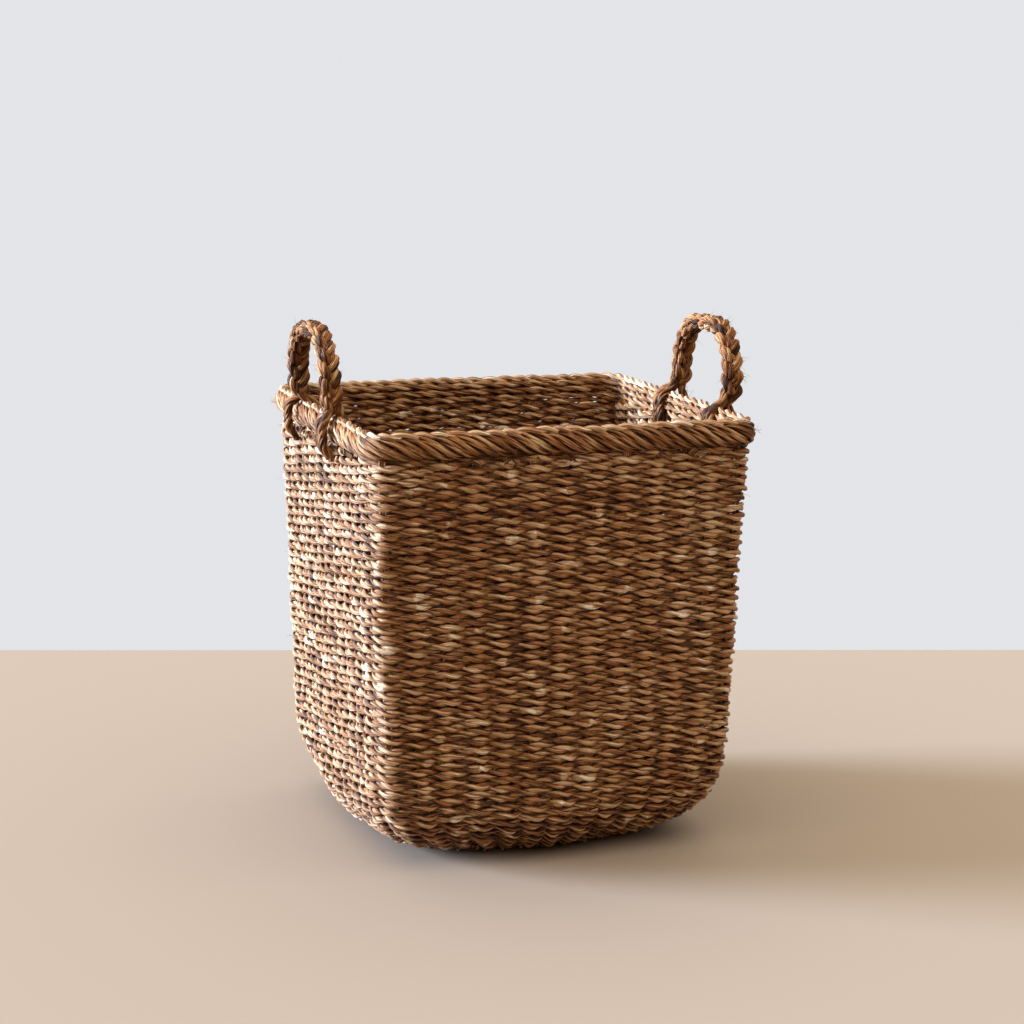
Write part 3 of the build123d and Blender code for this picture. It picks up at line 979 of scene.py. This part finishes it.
def handle_strand(rng, side, strand, ties, offset, outward):
    """Return one strand of a plaited handle, with the tails that tie it to the rim.

    In the loop it swings sideways by a sine and through the loop's plane by a sine at double the
    rate, a third of a cycle from the next strand: a flat plait. Below the loop's feet it eases over
    to a tail that lies down the outside or the inside of the wall and ends in the weave. Of the two
    ties, for the front foot and the back one, the sign says outside or inside, and the size says
    which of two places beside each other the tail takes.
    """
    sizes = bpy.context.scene.basket_handles
    samples, stems = 300, 4
    length, course, normal = handle_course(samples)
    foot = LOOP_BOX[0][2]
    height = course[:, 1]
    in_loop = smooth_step(height, foot - 9 * MM, foot + 13 * MM)
    phase = TURN * (length / sizes.plait_pitch + strand / 3)
    tie = np.where(course[:, 0] < 0, *ties)
    below = foot - height
    rim_gap = 13.2 * MM * smooth_step(below, -14 * MM, 10 * MM)
    tuck = 7.5 * MM * smooth_step(below, 24 * MM, 38 * MM)
    tail = np.where(tie > 0, rim_gap - tuck, 0.8 * (tuck - rim_gap))
    spread = (np.abs(tie) - 1.5) * 9.5 * MM
    sway = PLAIT_SWAY * np.sin(phase) * in_loop + tail * (1 - in_loop)
    lift = PLAIT_LIFT * np.sin(2 * phase) * in_loop + spread * (1 - in_loop)
    lift = lift + 0.4 * MM * knots(rng, 1, 24, samples, False)[0]
    lean = (outward + 0.03 * np.maximum(height - foot, 0)) * in_loop
    across = side * (RIM_BOX[1][0] - 9.5 * MM + sway + lean)
    plane = course + normal * lift[:, None] + [offset, 0.0]
    centre = np.concatenate([across[:, None], plane], -1)[None]
    along = direction(np.gradient(centre, axis=1))
    first = square_to(along, np.broadcast_to([1.0, 0, 0], centre.shape))
    second = np.cross(along, first)
    size = sizes.strand_radius * (1 + 0.07 * knots(rng, 1, 26, samples, False))
    size = size * (1 - 0.16 * (1 - in_loop)) * (1 - 0.4 * smooth_step(below, 26 * MM, 39 * MM))
    parts = []
    for stem in range(stems):
        spin = TURN * (length / sizes.lay + stem / stems + strand * 0.13)[None]
        spin = spin + 0.4 * knots(rng, 1, 20, samples, False)
        reach = size * 0.5
        stem_centre = centre + first * (reach * np.cos(spin))[..., None]
        stem_centre = stem_centre + second * (reach * np.sin(spin))[..., None]
        tone = 0.45 + 0.2 * rng.uniform(-1, 1) + 0.16 * knots(rng, 1, 40, samples, False)
        thick = size * 0.56 * (1 + 0.1 * knots(rng, 1, 40, samples, False))
        parts.append(tubes(stem_centre, first, second, thick, thick, 7, False, tone))
    pick = rng.integers(20, samples - 20, 40)
    out = first * rng.choice([-1.0, 1.0]) + second * rng.uniform(-0.6, 0.6)
    roots = (centre + out * size[..., None] * 0.8)[0, pick]
    parts.append(fibres(rng, roots, direction(out[0, pick]), along[0, pick], 0.014, HAIR_RADIUS))
    return parts


class BASKET_OT_handles(bpy.types.Operator):
    """Plait the two handles and tie their tails to the rim"""

    bl_idname = "basket.handles"
    bl_label = "Plait the handles"

    def execute(self, context):
        # Each handle's name and side, how far it stands off its wall's middle and leans outwards,
        # and the ties of its three strands.
        handles = (
            ("left", -1, 3 * MM, 4 * MM, ((1, 2), (2, -1), (-1, -2))),
            ("right", 1, -27 * MM, 11 * MM, ((1, -1), (-1, 1), (-2, -2))),
        )
        for number, (name, side, offset, outward, strands) in enumerate(handles):
            for strand, ties in enumerate(strands):
                rng = np.random.default_rng(SEEDS["handles"] + 10 * number + strand)
                parts = handle_strand(rng, side, strand, ties, offset, outward)
                piece = make_piece(
                    f"plait_{name}_{strand + 1}", parts, grass_material("handle_grass")
                )
                nodes = [f"handle_{name}_strand_{strand + 1}"]
                if strand == 0:
                    ends = ("front_outer", "front_inner", "back_outer", "back_inner")
                    nodes += [f"tail_{name}_{end}" for end in ends]
                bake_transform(piece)
                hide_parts(*nodes)
        return {"FINISHED"}


# ---------------------------------------------------------------- stage


def stage_material(name, colour):
    """Return a plain matt material for the floor."""
    material = bpy.data.materials.new(name)
    material.use_nodes = True
    surface = material.node_tree.nodes["Principled BSDF"]
    surface.inputs["Base Color"].default_value = (*colour, 1.0)
    surface.inputs["Roughness"].default_value = 0.85
    surface.inputs["Specular IOR Level"].default_value = 0.2
    return material


class BASKET_OT_stage(bpy.types.Operator):
    """Set the floor, the lights and the camera"""

    bl_idname = "basket.stage"
    bl_label = "Set the stage"

    def execute(self, context):
        scene = context.scene
        side = np.array([math.cos(FLOOR_TURN), math.sin(FLOOR_TURN)])
        ahead = np.array([-side[1], side[0]])
        corners = [-side * FLOOR_WIDE + ahead * FLOOR_NEAR, side * FLOOR_WIDE + ahead * FLOOR_NEAR]
        corners += [side * FLOOR_WIDE + ahead * FLOOR_FAR, -side * FLOOR_WIDE + ahead * FLOOR_FAR]
        mesh = bpy.data.meshes.new("floor")
        mesh.from_pydata([(float(x), float(y), 0.0) for x, y in corners], [], [(0, 1, 2, 3)])
        mesh.materials.append(stage_material("pale_floor", FLOOR_COLOUR))
        floor = bpy.data.objects.new("floor", mesh)
        scene.collection.objects.link(floor)

        world = bpy.data.worlds.new("studio")
        world.use_nodes = True
        backdrop = world.node_tree.nodes["Background"]
        place = Wire(world.node_tree, None).node("ShaderNodeTexCoord", {}, {})
        forward = (float(ahead[0]), float(ahead[1]), 0.0)
        settings = {"operation": "DOT_PRODUCT"}
        facing = place.node("ShaderNodeVectorMath", settings, {0: place, 1: forward}, 1)
        above = place.node("ShaderNodeVectorMath", settings, {0: place, 1: (0.0, 0.0, 1.0)}, 1)
        glow = facing.ramp(-0.3, 0.75).mixed(DIM_SIDE, BRIGHT_SIDE)
        glow = above.ramp(0.08, 0.8).mixed(glow, OVERHEAD)
        world.node_tree.links.new(glow.socket, backdrop.inputs["Color"])
        scene.world = world
        scene.view_settings.view_transform = "Standard"
        scene.view_settings.look = "Medium High Contrast"

        sun = bpy.data.lights.new("key", "SUN")
        sun.energy = KEY_POWER
        sun.angle = KEY_WIDTH
        sun.color = KEY_COLOUR
        key = bpy.data.objects.new("key", sun)
        key.rotation_euler = Vector(KEY_WAY).to_track_quat("-Z", "Y").to_euler()
        scene.collection.objects.link(key)

        lens = bpy.data.cameras.new("camera")
        lens.sensor_width = SENSOR_WIDTH
        lens.lens = FOCAL_LENGTH
        lens.clip_start = 0.05
        camera = bpy.data.objects.new("camera", lens)
        camera.location = CAMERA_PLACE
        camera.rotation_euler = CAMERA_TURN
        scene.collection.objects.link(camera)
        scene.camera = camera
        return {"FINISHED"}


# ---------------------------------------------------------------- add-on


OPERATORS = (
    BASKET_OT_base,
    BASKET_OT_bend,
    BASKET_OT_wall,
    BASKET_OT_stakes,
    BASKET_OT_rim,
    BASKET_OT_handles,
    BASKET_OT_stage,
)


class BASKET_PT_panel(bpy.types.Panel):
    """The basket's pieces, in the order they are built"""

    bl_idname = "BASKET_PT_panel"
    bl_label = "Basket"
    bl_space_type = "VIEW_3D"
    bl_region_type = "UI"
    bl_category = "Basket"

    def draw(self, context):
        for operator in OPERATORS:
            self.layout.operator(operator.bl_idname)


CLASSES = PROPERTY_GROUPS + OPERATORS + (BASKET_PT_panel,)


def register():
    """Add the basket's sizes, colours, operators and panel."""
    for group in CLASSES:
        bpy.utils.register_class(group)
    bpy.types.Scene.basket_sizes = PointerProperty(type=BasketSizes)
    bpy.types.Scene.basket_rim = PointerProperty(type=RimSizes)
    bpy.types.Scene.basket_handles = PointerProperty(type=HandleSizes)
    bpy.types.Scene.basket_colours = PointerProperty(type=BasketColours)


def unregister():
    """Take out all that register added."""
    for name in ("basket_sizes", "basket_rim", "basket_handles", "basket_colours"):
        delattr(bpy.types.Scene, name)
    for group in reversed(CLASSES):
        bpy.utils.unregister_class(group)


def main():
    """Build the basket and its stage."""
    register()
    bpy.ops.basket.base()
    bpy.ops.basket.bend()
    bpy.ops.basket.wall()
    bpy.ops.basket.stakes()
    bpy.ops.basket.rim()
    bpy.ops.basket.handles()
    bpy.ops.basket.stage()


if __name__ == "__main__":
    main()
